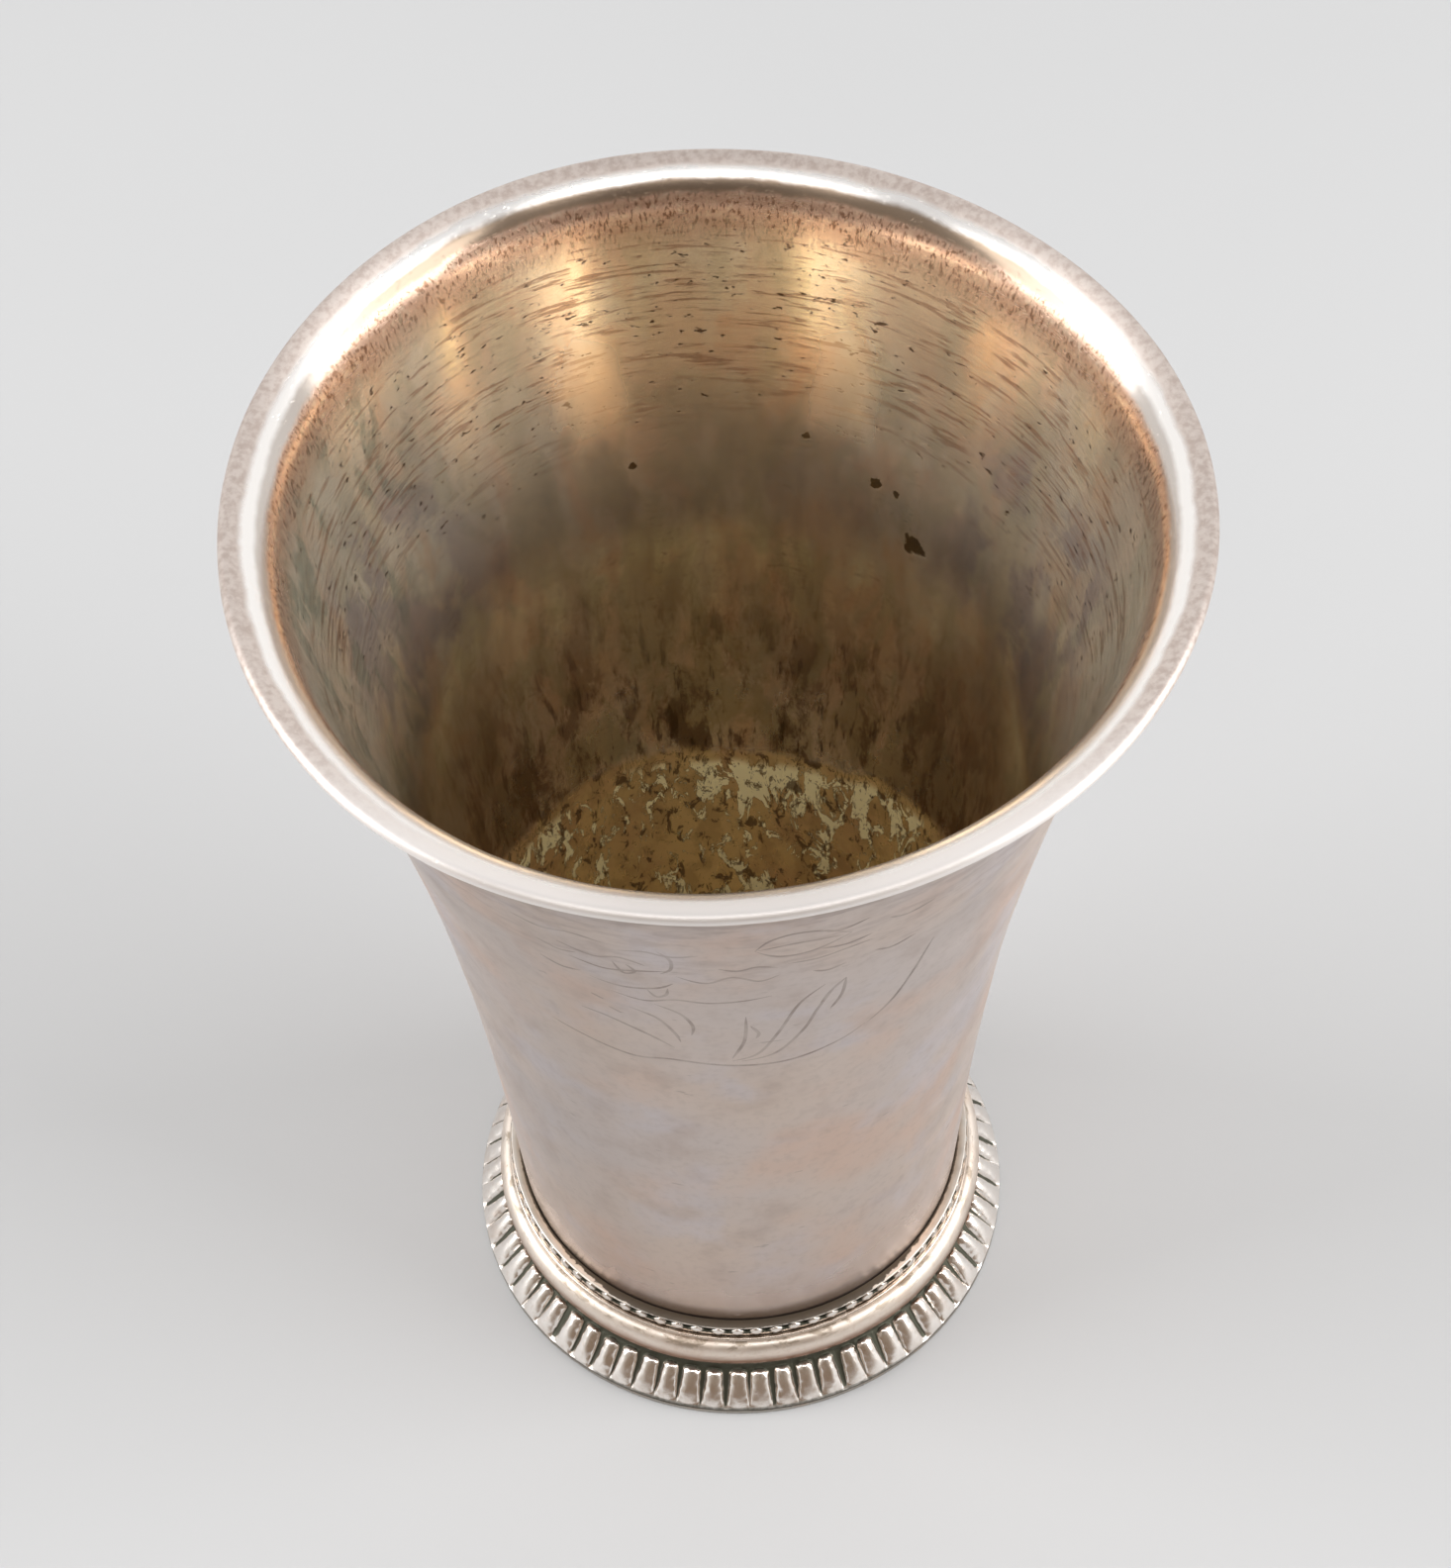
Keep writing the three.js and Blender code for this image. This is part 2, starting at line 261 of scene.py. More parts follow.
def cup():
    """The raised cup, slightly out of round, with soft dents and planishing marks."""
    points, angle = turned(cup_profile, CUP_COLUMNS)
    share = np.clip((cup_profile[:, 1] - CUP_BOTTOM) / (CUP_TOP - CUP_BOTTOM), 0, 1)[:, None]
    oval = OVAL * np.cos(2 * angle + 0.28) + THREE_SIDED * np.cos(3 * angle + 0.09)
    free = np.clip((cup_profile[:, 1] - COLLAR_TOP) / (12 * MM), 0, 1)[:, None]
    dents = DENT_HEIGHT * waves(points, 15 * MM, 3) + HAMMER_HEIGHT * waves(points, 5 * MM, 4)
    on_wall = np.clip(cup_profile[:, 0] / WALL_FOOT_RADIUS * 1.5 - 0.5, 0, 1)[:, None]
    push(points, oval * share ** 2 + dents * free * on_wall)
    along = np.zeros(len(cup_profile))
    steps = np.linalg.norm(np.diff(cup_profile, axis=0), axis=1)
    along[1:] = np.cumsum(steps)
    mouth = along[len(outside_line) - EDGE_STEPS // 2]
    from_edge = (along - mouth) / MM
    return grid_piece("cup", points, closed=False, values={
        "from_edge": np.repeat(from_edge[:, None], CUP_COLUMNS, 1),
    })


# Foot rings

NARROW_RING_COLUMNS = 256
WIDE_RING_COLUMNS = 288


def ring_piece(name, outline, columns, seed, wobble=0.012 * MM, values=None):
    """A drawn wire turned about the axis, with the slight unevenness of soldered work."""
    points, _ = turned(outline, columns)
    uneven = wobble * waves(points, 6 * MM, seed)
    push(points, uneven)
    return grid_piece(name, points, values=values)


def shade_by_height(outline, columns, low, high):
    """A number for each point, 0 at the low mark and 1 at the high mark."""
    share = np.clip((outline[:, 1] - low) / (high - low), 0, 1)
    return np.repeat(share[:, None], columns, 1)


def collar():
    """The drawn channel with a ledge on top and a small overhanging lip."""
    web = COLLAR_BACK + COLLAR_WEB
    channel_top = COLLAR_TOP - COLLAR_LIP
    small = 0.08 * MM
    outline = rounded([
        (COLLAR_BACK, COLLAR_LOW), (web, COLLAR_LOW), (web, channel_top),
        (COLLAR_EDGE, channel_top), (COLLAR_EDGE, COLLAR_TOP), (COLLAR_BACK, COLLAR_TOP),
    ], [small / 2, small / 2, small / 2, small, 0.12 * MM, small], 3)
    across = np.clip((outline[:, 0] - web) / (COLLAR_EDGE - web), 0, 1)
    worn = np.repeat(across[:, None], NARROW_RING_COLUMNS, 1)
    return ring_piece("collar", outline, NARROW_RING_COLUMNS, 21, values={"worn": worn})


def bead():
    """Fine wire of half-round section."""
    half = (BEAD_TOP - BEAD_LOW) / 2
    face = arc((BEAD_FACE - half, BEAD_LOW + half), half, -math.pi / 2, math.pi / 2, 12)
    outline = np.concatenate([[[BEAD_BACK, BEAD_LOW]], face, [[BEAD_BACK, BEAD_TOP]]])
    across = np.clip((outline[:, 0] - BEAD_FACE + 2 * half) / (2 * half), 0, 1)
    worn = np.repeat(across[:, None], NARROW_RING_COLUMNS, 1)
    return ring_piece("bead", outline, NARROW_RING_COLUMNS, 22, values={"worn": worn})


TORUS_SHOULDER_SHARE = 0.52


def torus():
    """Drawn half-round moulding with an elliptical face."""
    half = (TORUS_TOP - TORUS_LOW) / 2
    shoulder = TORUS_BACK + (TORUS_FACE - TORUS_BACK) * TORUS_SHOULDER_SHARE
    face = arc((shoulder, TORUS_LOW + half), TORUS_FACE - shoulder, -math.pi / 2, math.pi / 2, 28, half)
    outline = np.concatenate([[[TORUS_BACK, TORUS_LOW]], face, [[TORUS_BACK, TORUS_TOP]]])
    height = shade_by_height(outline, WIDE_RING_COLUMNS, TORUS_LOW, TORUS_TOP)
    return ring_piece("torus", outline, WIDE_RING_COLUMNS, 23, wobble=0.03 * MM, values={"worn": height})


def foot_wire():
    """Plain wire that the beaker stands on. Its upper outer corner is hidden under the flange."""
    face = WIRE_FACE - 0.05 * MM
    outline = rounded([
        (WIRE_BACK, WIRE_LOW), (face, WIRE_LOW), (face, WIRE_LOW + 0.62 * MM),
        (FLANGE_RADIUS - 0.3 * MM, WIRE_TOP), (WIRE_BACK, WIRE_TOP),
    ], [0.15 * MM, 0.25 * MM, 0.2 * MM, 0.1 * MM, 0.1 * MM], 5)
    below_seam = 1 - shade_by_height(outline, WIDE_RING_COLUMNS, WIRE_LOW + 0.45 * MM, WIRE_LOW + 0.75 * MM)
    return ring_piece("foot_wire", outline, WIDE_RING_COLUMNS, 24, values={"worn": below_seam})


COLUMNS_PER_TOOTH = 14
TOOTH_FOLD = 0.3 * MM
TOOTH_HALF_WIDTH = 0.47


def strip():
    """Thin strip cut into pointed teeth along its upper edge. Each tooth is folded to a ridge."""
    columns = TOOTH_COUNT * COLUMNS_PER_TOOTH
    place = np.arange(columns) / COLUMNS_PER_TOOTH
    tooth = np.floor(place + 0.5).astype(int) % TOOTH_COUNT
    shift = rng.uniform(-0.07, 0.07, TOOTH_COUNT)[tooth]
    tall = rng.uniform(0.8, 1.0, TOOTH_COUNT)[tooth]
    ridge = rng.uniform(0.75, 1.15, TOOTH_COUNT)[tooth]
    offset = (place + 0.5) % 1 - 0.5 - shift
    wave = np.clip(1 - np.abs(offset) / TOOTH_HALF_WIDTH, 0, 1)
    root = STRIP_TOP - TOOTH_HEIGHT
    top = root + TOOTH_HEIGHT * wave * tall
    angle = place / TOOTH_COUNT * TURN
    bevel = 0.07 * MM
    flat = np.full(columns, 1.0)
    fold = TOOTH_FOLD * wave * ridge
    rows = [
        (STRIP_BACK * flat, STRIP_LOW * flat, 0.1 * flat),
        ((STRIP_FACE - bevel) * flat, STRIP_LOW * flat, 0.3 * flat),
        (STRIP_FACE * flat, (STRIP_LOW + bevel) * flat, 0.6 * flat),
        (STRIP_FACE * flat, (root - 0.4 * MM) * flat, 0.6 * flat),
        (STRIP_FACE + 0.15 * fold, (root - 0.28 * MM) * flat, 0.6 * flat),
    ]
    for share, bulge in ((0.0, 1.0), (0.35, 0.72), (0.7, 0.42)):
        height = root - 0.1 * MM + (top - root + 0.1 * MM) * share
        rows.append((STRIP_FACE + bulge * fold, height, 0.15 + 0.85 * wave))
    rows.append((STRIP_FACE + 0.1 * fold, top - 0.6 * bevel, 0.2 + 0.8 * wave))
    rows.append((STRIP_FACE - bevel - 0.1 * fold, top, 0.2 + 0.8 * wave))
    rows.append((STRIP_BACK + bevel, top, 0.1 + 0.5 * wave))
    rows.append((STRIP_BACK * flat, top - bevel, 0.1 * flat))
    rows.append((STRIP_BACK * flat, (root - 0.3 * MM) * flat, 0.0 * flat))
    grid = np.array([np.stack([r * np.cos(angle), r * np.sin(angle), z], 1) for r, z, _ in rows])
    return grid_piece("toothed_band", grid, values={"worn": np.array([row[2] for row in rows])})


COLUMNS_PER_FLUTE = 24
FLUTE_ROWS = 24
RAGGED = 0.02
RAGGED_SIZE = 0.45 * MM
TONGUE_SLOPE = 0.13


def flange():
    """Flat land, short neck and a sloping skirt chased into tongues with tapering grooves between."""
    columns = FLUTE_COUNT * COLUMNS_PER_FLUTE
    place = np.arange(columns) / COLUMNS_PER_FLUTE
    flute = np.floor(place).astype(int)
    flat = np.full(columns, 1.0)
    shift = rng.uniform(-0.08, 0.08, FLUTE_COUNT)[flute]
    wide = rng.uniform(-0.06, 0.06, FLUTE_COUNT)[flute]
    deep = rng.uniform(0.85, 1.1, FLUTE_COUNT)[flute]
    low_end = rng.uniform(-0.02, 0.025, FLUTE_COUNT)[flute]
    lean = rng.uniform(-0.16, 0.16, FLUTE_COUNT)[flute]
    roll = rng.uniform(-0.12, 0.12, FLUTE_COUNT)[flute]
    puff = rng.uniform(0.8, 1.15, FLUTE_COUNT)[flute]
    angle = place / FLUTE_COUNT * TURN
    across = 2 * (place - flute) - 1

    neck = WALL_FOOT_RADIUS + NECK_OFFSET
    rim = FLANGE_RADIUS + RIM_PROUD
    rim_low = FLANGE_LOW - RIM_DROP
    inner = np.array([neck + NECK_FLARE, LAND_TOP - NECK_HEIGHT])
    outer = np.array([rim, rim_low + FLANGE_EDGE])
    slope = (outer - inner) / np.linalg.norm(outer - inner)
    into = np.array([slope[1], -slope[0]])
    groove = inner + into * FLUTE_DEPTH
    back = groove + into * FLANGE_SHEET
    # 1 on the front tongues, whose tops and rim ends are painted darker: painted shade.
    front = np.clip((-np.sin(angle) - 0.55) / 0.3, 0, 1)

    def plain(radius, height, worn, recess=0.0):
        return radius * flat, height * flat, worn * flat, recess * flat

    rows = [
        plain(LAND_RADIUS, LAND_TOP, 0.2), plain(LAND_RADIUS, LAND_TOP - FLANGE_SHEET, 0.2),
        plain(neck - FLANGE_SHEET, LAND_TOP - FLANGE_SHEET, 0.2), plain(back[0], back[1], 0.2),
        plain(FLANGE_RADIUS - FLANGE_SEAT_WIDTH, FLANGE_LOW, 0.3),
        plain(FLANGE_RADIUS - 0.25 * MM, FLANGE_LOW, 0.3),
        # At the front the rim rows take painted shade.
        plain(rim - 0.1 * MM, rim_low, 0.6, 0.75 * front),
        plain(rim - 0.02 * MM, rim_low + 0.05 * MM, 0.9, 0.76 * front),
        plain(rim, outer[1] - 0.08 * MM, 1.0, 0.74 * front),
    ]
    shares = np.concatenate([[1.0, 0.985], np.linspace(0.965, 0.24, FLUTE_ROWS - 9),
                             [0.2, 0.165, 0.13, 0.1, 0.075, 0.05, 0.028, 0.01]])
    for share in shares:
        left = np.clip(1 - share / FLUTE_END_SHARE, 0, 1)
        crest = inner + (outer - inner) * share
        crest_points = np.stack([crest[0] * np.cos(angle), crest[0] * np.sin(angle), crest[1] * flat], 1)
        ragged = RAGGED * waves(crest_points, RAGGED_SIZE, 31)
        gap = (GROOVE_WIDTH_SHARE + wide) * (0.3 + 0.7 * left) * (left > 0)
        half = 1 - gap
        offset = across - shift * 2 - lean * (share - 0.5) + ragged * np.clip(left / 0.3, 0, 1)
        inside = np.clip((half - np.abs(offset)) / TONGUE_SLOPE, -1, 1)
        rise = 0.5 + 0.5 * np.sin(inside * math.pi / 2)
        corner = 0.07 * np.clip(np.abs(offset) / 0.62, 0, 1) ** 3
        start = np.clip((share - low_end - corner + 0.15 * ragged) / TONGUE_SLOPE, 0, 1)
        start = np.sqrt(1 - (1 - start) ** 2)
        sideways = np.clip(offset / np.maximum(half, 0.2), -1, 1)
        pillow = PILLOW * puff * (sideways ** 2 + roll * sideways) * (0.4 + 0.6 * np.clip(left / 0.5, 0, 1))
        wall_deep = FLUTE_DEPTH * np.clip(left / 0.1, 0, 1) * (0.5 + 0.5 * left) * deep
        wall_deep = np.maximum(wall_deep, pillow)
        drop = np.maximum(pillow + (wall_deep - pillow) * (1 - rise * start), 0)
        drop = drop - BOW * 4 * share * (1 - share) * rise * start
        recess = np.clip(1 - rise * start, 0, 1) * np.clip(left / 0.08, 0, 1)
        # The tongue tops below the neck are darker all round and more at the front, and the front rim ends
        # too: painted shade.
        tops = (0.25 + 0.38 * front) * np.clip(1 - (share - low_end - 0.04) / 0.13, 0, 1)
        ends = 0.7 * front * np.clip((share - 0.91) / 0.06, 0, 1)
        recess = np.maximum(recess, np.maximum(tops, ends))
        # The tongue tops are also painted in the darker colour: painted shade under the torus.
        worn = np.clip(0.4 + 0.6 * rise * start - 0.45 * np.clip(1 - share / 0.3, 0, 1), 0, 1)
        rows.append((crest[0] + into[0] * drop, crest[1] + into[1] * drop, worn, recess))
    rows.append(plain(groove[0], groove[1], 0.0, 1.0))
    rows.append(plain(neck + 0.1 * MM, groove[1] + 0.45 * MM, 0.1, 0.9))
    rows.append(plain(neck, LAND_TOP - 0.1 * MM, 0.2, 0.6))
    rows.append(plain(neck - 0.1 * MM, LAND_TOP, 0.2, 0.6))
    grid = np.array([np.stack([r * np.cos(angle), r * np.sin(angle), z], 1) for r, z, _, _ in rows])
    return grid_piece("flange", grid, values={
        "worn": np.array([row[2] for row in rows]),
        "recess": np.array([row[3] for row in rows]),
    })


# Engraving, worn nearly flat: strokes given by angle from the front in degrees and height in mm

STROKE_POINTS = {
    "swag": [(-33.4, 77.4), (-28, 76.6), (-18.3, 75.0), (-11, 75.6), (0.2, 74.4), (9.9, 74.3), (18.9, 76.0),
             (23.3, 77.9)],
    "swag_end": [(23.8, 77.9), (28, 81), (31, 86), (33, 92)],
    "stem": [(-0.6, 76.2), (1.6, 80.5), (1.9, 86.5)],
    "leaf_a": [(-0.6, 75.6), (4.0, 77.0), (7.6, 82.0), (10.6, 88.0), (14.4, 91.4)],
    "leaf_b": [(1.0, 75.4), (7.0, 76.6), (11.6, 81.0), (14.0, 86.0), (16.8, 91.0)],
    "leaf_c": [(14.0, 86.0), (15.4, 89.0), (17.8, 91.6)],
    "leaf_d": [(17.8, 91.6), (17.6, 87.6), (16.0, 84.6)],
    "sprig_a": [(-25.6, 84.2), (-21, 83.6), (-14.8, 81.2), (-10.4, 78.6)],
    "sprig_b": [(-16.8, 87.6), (-12.6, 85.8), (-10.0, 82.4), (-9.2, 80.2)],
    "sprig_c": [(-12.4, 89.4), (-8.6, 87.4), (-6.8, 84.4), (-7.2, 82.0)],
    "leaf_top": [(3.2, 103.4), (5.2, 105.8), (8.4, 106.9), (12.4, 106.2), (16.8, 103.6)],
    "leaf_low": [(3.2, 103.4), (5.8, 101.6), (9.0, 101.0), (12.6, 101.6), (16.8, 103.6)],
    "leaf_rib": [(3.6, 103.5), (8.0, 104.1), (12.0, 104.0), (15.6, 103.6)],
    "tail_a": [(12.8, 101.2), (16.6, 100.7), (20.2, 101.4)],
    "tail_b": [(8.0, 99.0), (12.4, 98.8), (16.4, 99.4), (20.6, 99.8)],
    "tail_c": [(13.0, 105.6), (15.6, 105.2), (19.0, 106.2)],
    "fold_a": [(-25.0, 101.0), (-20.0, 99.6), (-16.0, 100.6), (-12.4, 99.4)],
    "fold_b": [(-24.0, 97.8), (-19.0, 96.8), (-14.0, 97.6), (-9.6, 98.4)],
    "fold_c": [(-21.8, 93.6), (-17.0, 92.8), (-11.6, 93.6), (-8.8, 95.2)],
    "fold_d": [(-19.0, 91.0), (-14.0, 90.0), (-9.0, 91.0), (-4.0, 90.4), (1.5, 90.6), (6.0, 91.2)],
    "fold_e": [(-8.2, 97.2), (-4.0, 95.6), (0.0, 97.0), (4.0, 95.4), (7.0, 96.4)],
    "curl_a": [(-17.2, 99.2), (-16.0, 96.6), (-14.2, 97.4), (-15.2, 99.0)],
    "curl_b": [(-10.2, 103.6), (-8.6, 101.6), (-8.8, 99.0), (-10.4, 97.6)],
    "curl_c": [(-13.0, 93.0), (-11.8, 91.4), (-10.2, 92.2), (-9.8, 93.8)],
    "hatch_a": [(-22.8, 88.8), (-20.8, 88.0)],
    "hatch_b": [(-20.4, 86.4), (-18.4, 85.4)],
    "hatch_c": [(2.6, 84.0), (4.0, 82.0), (3.6, 80.8)],
    "hatch_d": [(-31.0, 104.4), (-27.0, 103.6), (-22.4, 104.6), (-17.8, 104.0)],
    "hatch_e": [(-28.6, 99.6), (-25.6, 98.6), (-22.6, 99.2)],
    "hatch_f": [(-29.6, 94.8), (-26.4, 93.8), (-23.0, 94.4)],
    "hatch_g": [(-15.8, 102.6), (-12.0, 103.2), (-8.4, 102.4), (-4.6, 103.0)],
    "hatch_h": [(-2.0, 99.4), (0.8, 98.6), (3.6, 99.2), (6.6, 98.4)],
    "hatch_i": [(12.0, 95.8), (14.4, 95.0), (17.2, 95.6)],
    "hatch_j": [(21.6, 96.4), (24.6, 95.4), (28.4, 96.0)],
    "hatch_k": [(22.4, 104.0), (25.4, 103.0), (29.6, 103.6)],
}
STROKE_HALF_WIDTH = 0.2 * MM
STROKE_PROUD = 0.012 * MM
STROKE_SINK = 0.08 * MM
STEPS_PER_STROKE_POINT = 9


def smooth_line(points, steps_each):
    """A Catmull-Rom line through the points."""
    p = np.array([points[0], *points, points[-1]], float)
    out = []
    for i in range(1, len(p) - 2):
        for k in range(steps_each):
            t = k / steps_each
            out.append(0.5 * (2 * p[i] + (p[i + 1] - p[i - 1]) * t
                              + (2 * p[i - 1] - 5 * p[i] + 4 * p[i + 1] - p[i + 2]) * t * t
                              + (3 * p[i] - p[i - 1] - 3 * p[i + 1] + p[i + 2]) * t ** 3))
    out.append(p[-2])
    return np.array(out)


def engraving(cup_piece):
    """Each stroke is a thin closed sliver that lies in the wall and tapers at its ends."""
    surface = np.array([v.co for v in cup_piece.data.vertices])
    rows = surface[1:1 + (len(outside_line) - 1) * CUP_COLUMNS].reshape(-1, CUP_COLUMNS, 3)
    row_height = rows[:, 0, 2]
    row_radius = np.hypot(rows[:, :, 0], rows[:, :, 1])
    first = len(outside_line) - len(edge) - len(under) - len(wall) + 3

    def skin(angle, height):
        column = (angle / TURN * CUP_COLUMNS) % CUP_COLUMNS
        low = int(column) % CUP_COLUMNS
        mix = column - int(column)
        line = row_radius[first:first + len(wall) - 1]
        tall = row_height[first:first + len(wall) - 1]
        a = np.interp(height, tall, line[:, low])
        b = np.interp(height, tall, line[:, (low + 1) % CUP_COLUMNS])
        return a * (1 - mix) + b * mix

    vertices, faces = [], []
    for points in STROKE_POINTS.values():
        line = smooth_line(points, STEPS_PER_STROKE_POINT)
        angles = np.radians(line[:, 0]) - math.pi / 2
        heights = line[:, 1] * MM
        radii = np.array([skin(a, z) for a, z in zip(angles, heights)])
        flat = np.stack([angles * radii, heights], 1)
        heading = np.gradient(flat, axis=0)
        heading /= np.maximum(np.linalg.norm(heading, axis=1)[:, None], 1e-12)
        count = len(line)
        taper = np.clip(np.sin(np.linspace(0.06, math.pi - 0.06, count)) * 1.4, 0.15, 1)
        start = len(vertices)
        for i in range(count):
            wide = STROKE_HALF_WIDTH * taper[i]
            side = np.array([-heading[i, 1], heading[i, 0]]) * wide
            for share, out in ((1, -STROKE_SINK), (0.9, STROKE_PROUD * 0.3), (0, STROKE_PROUD),
                               (-0.9, STROKE_PROUD * 0.3), (-1, -STROKE_SINK)):
                a = angles[i] + side[0] * share / radii[i]
                z = heights[i] + side[1] * share
                r = skin(a, z) + out
                vertices.append((r * math.cos(a), r * math.sin(a), z))
        for i in range(count - 1):
            base = start + 5 * i
            for k in range(5):
                n = (k + 1) % 5
                faces.append((base + k, base + n, base + 5 + n, base + 5 + k))
        faces.append(tuple(start + k for k in range(4, -1, -1)))
        faces.append(tuple(start + 5 * (count - 1) + k for k in range(5)))
    mesh = bpy.data.meshes.new("engraved_foliage")
    mesh.from_pydata(vertices, [], faces)
    mesh.validate()
    mesh.update()
    piece = bpy.data.objects.new("engraved_foliage", mesh)
    bpy.context.scene.collection.objects.link(piece)
    return piece


# Materials, written as small node graphs

def tone(red, green, blue):
    """A colour given as 0 to 255 on screen, as the linear colour that a socket takes."""
    linear = [((c / 255 + 0.055) / 1.055) ** 2.4 if c > 10 else c / 255 / 12.92 for c in (red, green, blue)]
    return (*linear, 1)


def add_node(tree, kind, inputs=None, **settings):
    """Adds a node. Inputs that are sockets are linked, other values are set."""
    made = tree.nodes.new(kind)
    for key, value in settings.items():
        setattr(made, key, value)
    for key, value in (inputs or {}).items():
        feed(tree, made.inputs[key], value)
    return made


def feed(tree, socket, value):
    if isinstance(value, bpy.types.NodeSocket):
        tree.links.new(value, socket)
    else:
        socket.default_value = value


class Graph:
    """A node material. mm, x, y and z are the place in mm. Most methods return a node's output."""

    def __init__(self, name):
        self.material = bpy.data.materials.new(name)
        self.material.use_nodes = True
        self.tree = self.material.node_tree
        self.shader = self.tree.nodes["Principled BSDF"]
        place = self.node("ShaderNodeTexCoord").outputs["Object"]
        self.mm = self.node("ShaderNodeVectorMath", {0: place, "Scale": 1 / MM}, operation="SCALE").outputs[0]
        self.x, self.y, self.z = self.node("ShaderNodeSeparateXYZ", {0: self.mm}).outputs

    def node(self, kind, inputs=None, **settings):
        return add_node(self.tree, kind, inputs, **settings)

    def set(self, name, value):
        feed(self.tree, self.shader.inputs[name], value)

    def math(self, operation, a, b=0.0):
        return self.node("ShaderNodeMath", {0: a, 1: b}, operation=operation).outputs[0]

    def times(self, a, b):
        return self.math("MULTIPLY", a, b)

    def plus(self, a, b):
        return self.math("ADD", a, b)

    def minus(self, a, b):
        return self.math("SUBTRACT", a, b)

    def larger(self, a, b):
        return self.math("MAXIMUM", a, b)

    def swing(self, value, amount):
        """A noise value moved to lie about zero, with the given reach."""
        return self.times(self.minus(value, 0.5), amount)

    def between(self, factor, a, b):
        """A number from a to b."""
        return self.node("ShaderNodeMix", {0: factor, 2: a, 3: b}).outputs[0]

    def attribute(self, name):
        return self.node("ShaderNodeAttribute", attribute_name=name).outputs["Fac"]

    def ramp(self, value, low, high, to_low=0.0, to_high=1.0):
        """A smooth step from to_low to to_high between two marks."""
        return self.node("ShaderNodeMapRange", {0: value, 1: low, 2: high, 3: to_low, 4: to_high},
                         interpolation_type="SMOOTHSTEP").outputs[0]

    def mix(self, factor, a, b):
        return self.node("ShaderNodeMix", {0: factor, 6: a, 7: b}, data_type="RGBA").outputs[2]

    def stretch(self, around, up, seed=0.0):
        """Place in mm with separate scales round the axis and along it."""
        flat = self.node("ShaderNodeCombineXYZ", {0: self.x, 1: self.y}).outputs[0]
        wide = self.node("ShaderNodeVectorMath", {0: flat, "Scale": around}, operation="SCALE").outputs[0]
        tall = self.node("ShaderNodeMath", {0: self.z, 1: up, 2: seed}, operation="MULTIPLY_ADD").outputs[0]
        lift = self.node("ShaderNodeCombineXYZ", {2: tall}).outputs[0]
        return self.node("ShaderNodeVectorMath", {0: wide, 1: lift}, operation="ADD").outputs[0]

    def noise(self, vector, scale, detail=3.0, rough=0.5, distort=0.0):
        return self.node("ShaderNodeTexNoise", {"Vector": vector, "Scale": scale, "Detail": detail,
                                                "Roughness": rough, "Distortion": distort}).outputs["Fac"]

    def shifted(self, x, y, z):
        return self.node("ShaderNodeVectorMath", {0: self.mm, 1: (x, y, z)}, operation="ADD").outputs[0]

    def bump(self, height, distance, strength=1.0):
        return self.node("ShaderNodeBump", {"Height": height, "Distance": distance,
                                            "Strength": strength}).outputs[0]

    def brushed_round(self, amount):
        """Fine scratches that run round the vertical axis and smear reflections up and down."""
        tangent = self.node("ShaderNodeTangent", direction_type="RADIAL", axis="Z")
        self.set("Tangent", tangent.outputs[0])
        self.set("Anisotropic", amount)
        self.set("Anisotropic Rotation", 0.25)

    def finish(self, colour, roughness, normal, metallic=1.0):
        self.set("Base Color", colour)
        self.set("Roughness", roughness)
        self.set("Metallic", metallic)
        self.set("Normal", normal)
        return self.material


